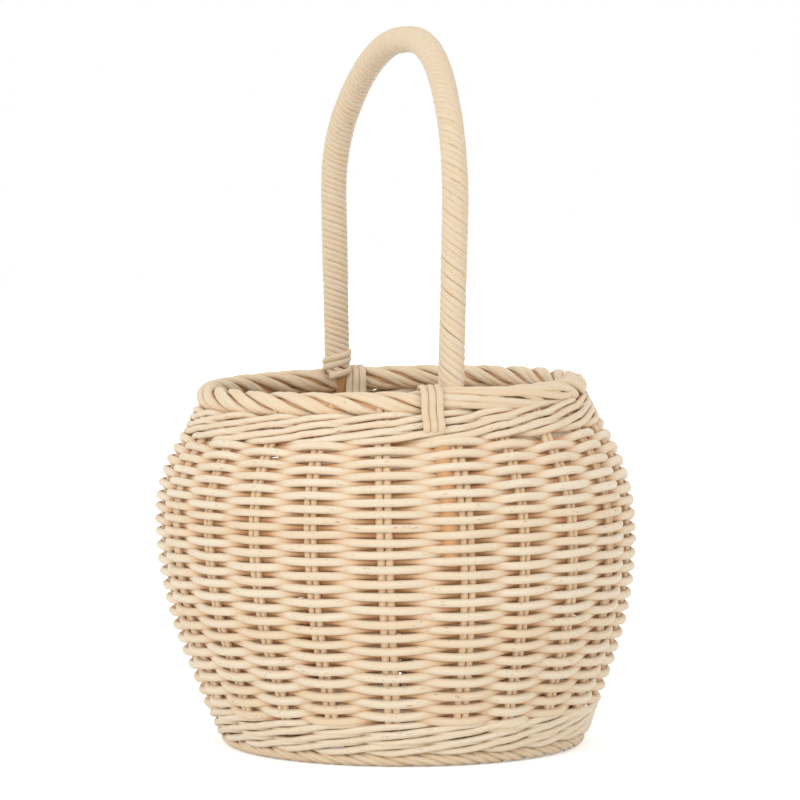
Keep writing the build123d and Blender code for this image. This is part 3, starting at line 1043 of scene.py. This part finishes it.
# %% The wrapping
WRAP_DROP = 0.0055                   # how far the lowest turns sink onto the border
WRAP_PAST = 0.008                    # how far each half goes past the top, under the other
WRAP_SINK = 0.16                     # how far its end sinks there, as a share of its radius


def wrap_line(node):
    """The part of the bow line inside one half of the wrapping, from the border up."""
    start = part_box(node)[0][2] - WRAP_DROP
    side = 1 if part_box(node)[1][0] > 0.01 else -1
    line = bow_line if side > 0 else bow_line[::-1]
    half = line[line[:, 0] * side > -WRAP_PAST]
    above = half[half[:, 2] > start]
    below = half[half[:, 2] <= start][-1]
    share = (start - below[2]) / (above[0][2] - below[2])
    return [below + (above[0] - below) * share, *above]


WRAP_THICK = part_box("handle_wrap_front")[1][1] * 2
WRAP_CANE = 0.0018
wrap_out = (WRAP_THICK - WRAP_CANE) / 2
for node, strands, turns, quickening, width, over, seed in (
        ("handle_wrap_front", 7, -10.5, 0.2, 0.0032, -0.0001, 11.0),
        ("handle_wrap_rear", 5, -15.8, 0.0, 0.0029, 0.0, 14.0)):
    line = wrap_line(node)
    lengths = np.linalg.norm(np.diff(line, axis=0), axis=1)
    top_share = 1 - WRAP_PAST / lengths.sum()
    finish_piece(
        f"{node}_cane", curve_object(node, line), [node], "wrap_cane", LAID_STRANDS,
        strands=strands, turns=turns, quickening=quickening, tilt=0.13, across=wrap_out + over,
        upright=wrap_out + over, upright_axis=(0.0, 1.0, 0.0), steps=900, bunching=0.03, wobble=0.12,
        loose=0.05, end_sink=WRAP_SINK, sink_from=float(top_share), under_shade=0.0,
        width=width, thickness=WRAP_CANE, sides=12, uneven=0.08,
        seed=seed, material=wrap_cane)

rear_up = wrap_line("handle_wrap_rear")[:8]
tie_up = [rear_up[0] + (0, 0, rise) for rise in (-0.002, 0.002, 0.006, 0.010)]
finish_piece(
    "handle_wrap_rear_tie", curve_object("tie", tie_up), ["handle_wrap_rear"], "wrap_cane", LAID_STRANDS,
    strands=2, turns=1.35, first_turn=0.2, across=wrap_out * 1.12, upright=wrap_out * 1.12,
    upright_axis=(0.0, 1.0, 0.0), steps=90, bunching=0.4, wobble=0.1, loose=0.1, under_shade=0.0,
    width=0.0036, thickness=0.0026, sides=12, uneven=0.08, seed=17.0, material=wrap_cane)

# %% [markdown]
# ## Lashings
#
# Three turns of cane beside each leg hold the bow to the border. Each turn goes over the border and back
# through the wall under the first row of waling.

# %% Lash the bow to the border
LASH_WIDTH = 0.0036
LASH_THICK = 0.0021
LASH_PITCH = 0.0036
LASH_NEARER = (0.0042, 0.0060)       # how far each lashing is pushed towards its leg
LASH_SINK = (0.0, 0.0015)            # how far its top is pressed into the border


def lashing_loops(node, nearer, sink):
    """Three loops in planes side by side, from the node's own box seen along its direction."""
    points = node_points(node)
    radius = np.hypot(points[:, 0], points[:, 1])
    middle = points.mean(axis=0)
    turn = math.atan2(middle[1], middle[0])
    ahead = np.array([math.cos(turn), math.sin(turn), 0])
    aside = np.array([-math.sin(turn), math.cos(turn), 0])
    inner, outer = radius.min() + LASH_THICK / 2, radius.max() - LASH_THICK / 2
    low, high = points[:, 2].min() + LASH_THICK / 2, BORDER_TOP - sink
    rim = inner + (outer - inner) * 0.78
    loop = (
        (inner, low + 0.002), (inner + 0.003, low), (outer - 0.003, low), (outer, low + 0.0035),
        (rim, low + (high - low) * 0.55), (rim, high - 0.004), (rim - 0.003, high),
        (inner + 0.003, high), (inner, high - 0.004), (inner, low + (high - low) * 0.5),
    )
    for i in (-1, 0, 1):
        yield [ahead * r + aside * (i * LASH_PITCH + nearer) + (0, 0, z) for r, z in loop], aside


for i, node in enumerate(("handle_lashing_front", "handle_lashing_rear")):
    loops = list(lashing_loops(node, LASH_NEARER[i], LASH_SINK[i]))
    finish_piece(
        f"{node}_cane", curve_object(node, *[line for line, _ in loops], closed=True, smooth=True),
        [node], "wrap_cane", LAID_STRANDS, drifts=False, strands=1, turns=0.0, across=0.0, upright=0.0,
        upright_axis=tuple(float(v) for v in loops[0][1]), steps=160, bunching=0.0, wobble=0.0,
        loose=0.0, under_shade=0.0, width=LASH_WIDTH, thickness=LASH_THICK, sides=12, uneven=0.08,
        seed=30.0 + i, material=wrap_cane)

# %% [markdown]
# ## The sticks of the base
#
# Six thick sticks are slit, and five thin ones pass through the slits, to make the cross that the base
# is woven on. Outside the cross they fan out, so that the weaving has spokes all the way round. The
# highest points of a stick's surface lie over its middle, so they give its line.

# %% Lay the sticks
CREST_DEPTH = 0.02                   # of a stick's thickness: how deep its highest points lie
RING_SHARE = 0.35                    # of its thickness: points of one ring are nearer than this
STICKS = [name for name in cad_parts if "_stick_" in name]
for i, node in enumerate(sorted(STICKS)):
    points = node_points(node)
    thick = float(np.ptp(points[:, 2]))
    crest = points[points[:, 2] > points[:, 2].max() - thick * CREST_DEPTH]
    flat = (crest - crest.mean(axis=0)) * (1, 1, 0)
    direction = np.linalg.svd(flat, full_matrices=False)[2][0]
    crest = crest[np.argsort(flat @ direction)] - (0, 0, thick / 2)
    line = ring_middles(crest, thick * RING_SHARE)
    finish_piece(
        f"{node}_rod", curve_object(node, line), [node], "base_cane", STAKE_CANES, canes=1,
        side_step=0.0, turn=0.0, wobble=0.0, steps=60, width=thick, thickness=thick, sides=12,
        uneven=0.04, seed=40.0 + i, material=base_cane)
